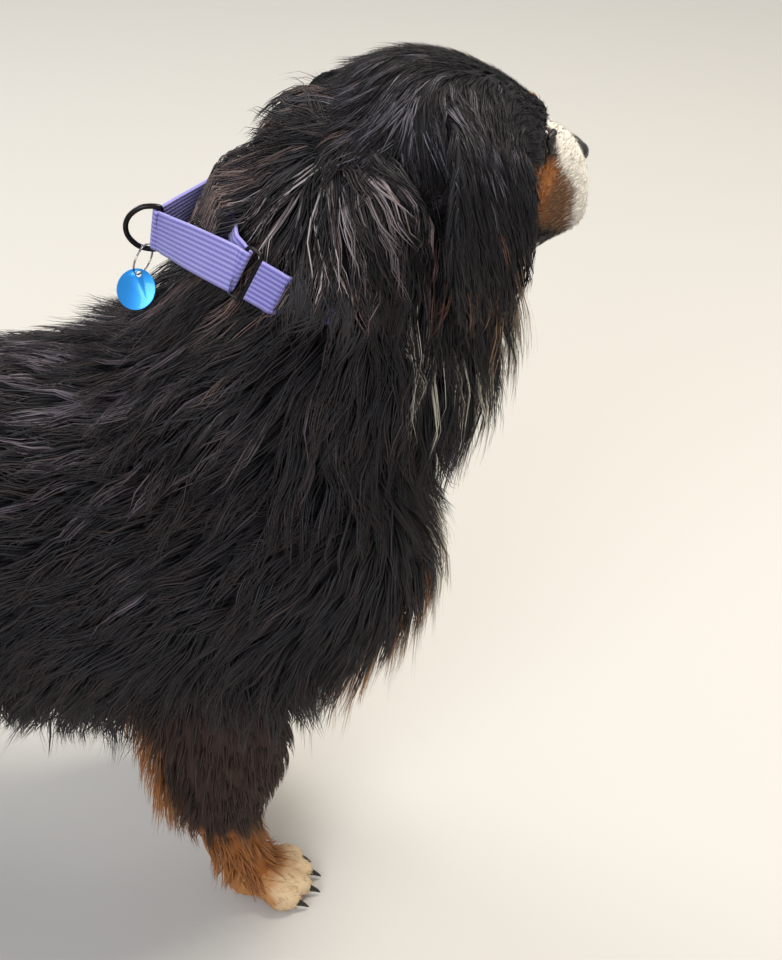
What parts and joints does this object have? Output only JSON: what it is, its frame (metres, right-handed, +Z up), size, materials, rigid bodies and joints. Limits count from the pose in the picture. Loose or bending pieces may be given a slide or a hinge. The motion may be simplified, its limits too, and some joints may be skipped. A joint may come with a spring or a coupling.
{
  "type": "bernese mountain dog",
  "caption": "Still life-size model of a standing long-coated tricolour dog, head raised and turned to its left, in a webbing collar with rings and a round tag.",
  "frame": {"origin": "on the floor under the middle of the whole animal's box, level with the soles", "axes": "+Z up, +X the way the body faces, +Y the animal's left"},
  "size_m": [1.0484, 0.3378, 0.8652],
  "materials": {
    "coat_black": "long black hair, soft sheen",
    "coat_rust": "rust and pale tan hair",
    "nose_leather": "moist pebbled nose leather",
    "eye": "wet dark brown eye",
    "webbing": "ribbed lilac nylon webbing",
    "ring_metal": "black plated steel wire",
    "tag_metal": "blue anodised, plain"
  },
  "bodies": {
    "root": {"trunk": "coat_black", "neck": "coat_black", "head": "coat_black", "nose": "nose_leather", "eye_right": "eye", "eye_left": "eye", "ear_right": "coat_black", "ear_left": "coat_black", "foreleg_right": "coat_rust", "foreleg_left": "coat_rust", "thigh_right": "coat_black", "thigh_left": "coat_black", "hindfoot_right": "coat_rust", "hindfoot_left": "coat_rust", "tail": "coat_black", "collar_band": "webbing", "collar_loop": "webbing", "slide_ring_right": "ring_metal", "slide_ring_left": "ring_metal", "lead_ring": "ring_metal", "tag_ring": "ring_metal", "tag": "tag_metal"}
  },
  "joints": []
}
